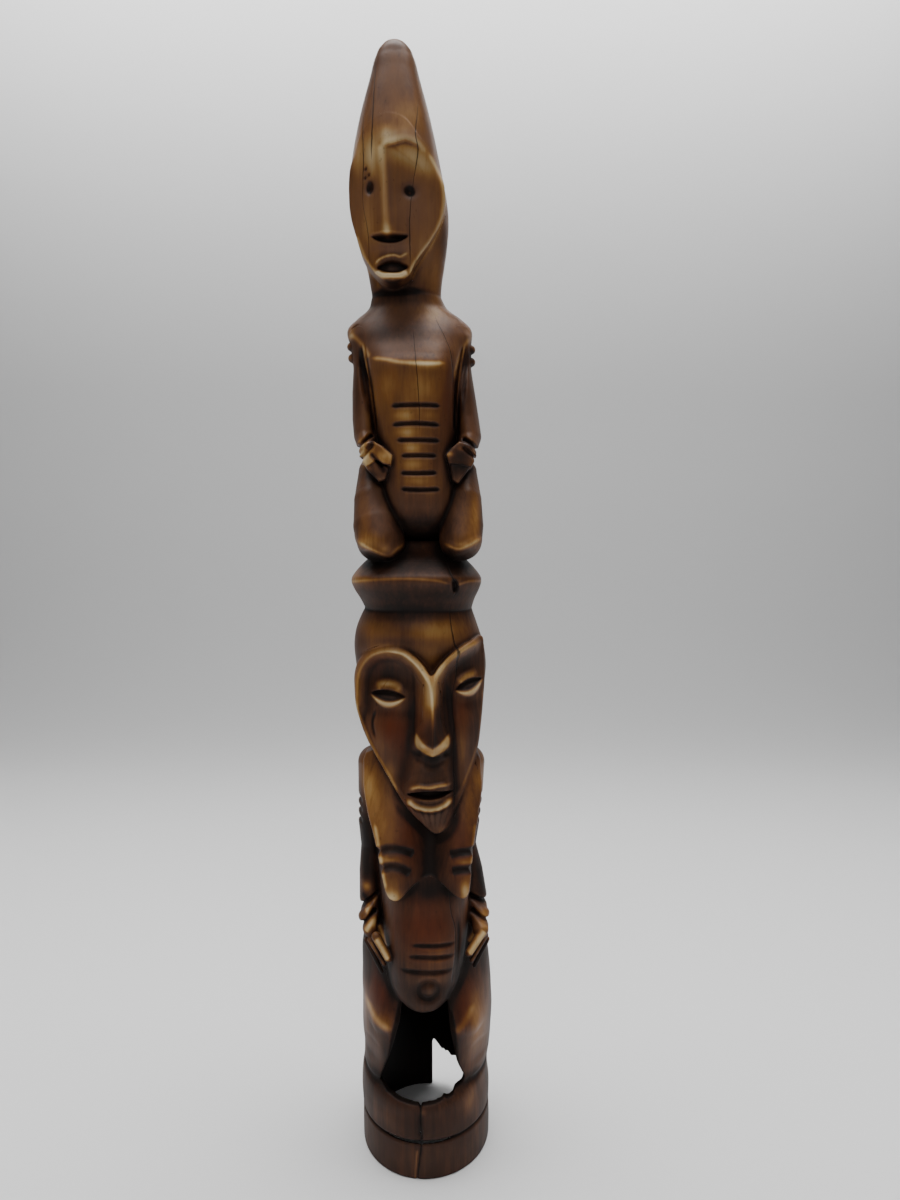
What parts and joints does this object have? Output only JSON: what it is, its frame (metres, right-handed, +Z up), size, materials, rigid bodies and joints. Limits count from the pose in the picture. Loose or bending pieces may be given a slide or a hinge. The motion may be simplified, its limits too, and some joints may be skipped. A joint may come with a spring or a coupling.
{
  "type": "carved ancestor figure",
  "caption": "Hollow bone column carved as a tall-headed figure kneeling on the head of a larger standing figure, with an open ring foot.",
  "frame": {"origin": "centre of the whole carving's box at the height of the surface it stands on", "axes": "+Z up the column, the faces look along -Y, +X is the figures' own left"},
  "size_m": [0.0598, 0.0713, 0.45],
  "materials": {
    "stained_bone": "glossy varnish over honey to dark brown stain",
    "pale_bone": "glossy, stain worn through to ivory on the high points",
    "dark_bone": "dark stain gathered in hollows, satin"
  },
  "bodies": {
    "root": {"base_ring": "stained_bone", "cavity_wall": "dark_bone", "lower_right_leg": "stained_bone", "lower_left_leg": "stained_bone", "lower_torso": "stained_bone", "navel": "dark_bone", "lower_right_breast": "pale_bone", "lower_left_breast": "pale_bone", "lower_right_arm": "stained_bone", "lower_left_arm": "stained_bone", "lower_right_hand": "pale_bone", "lower_left_hand": "pale_bone", "lower_head": "stained_bone", "lower_face": "stained_bone", "brow_ridges": "pale_bone", "lower_nose": "pale_bone", "right_eyelids": "pale_bone", "left_eyelids": "pale_bone", "lower_lips": "pale_bone", "beard": "dark_bone", "collar_seat": "stained_bone", "upper_right_leg": "stained_bone", "upper_left_leg": "stained_bone", "upper_torso": "stained_bone", "upper_right_arm": "stained_bone", "upper_left_arm": "stained_bone", "upper_right_studs": "pale_bone", "upper_left_studs": "pale_bone", "upper_right_hand": "pale_bone", "upper_left_hand": "pale_bone", "upper_neck": "dark_bone", "upper_head": "stained_bone", "upper_face": "stained_bone", "upper_lips": "pale_bone"}
  },
  "joints": []
}
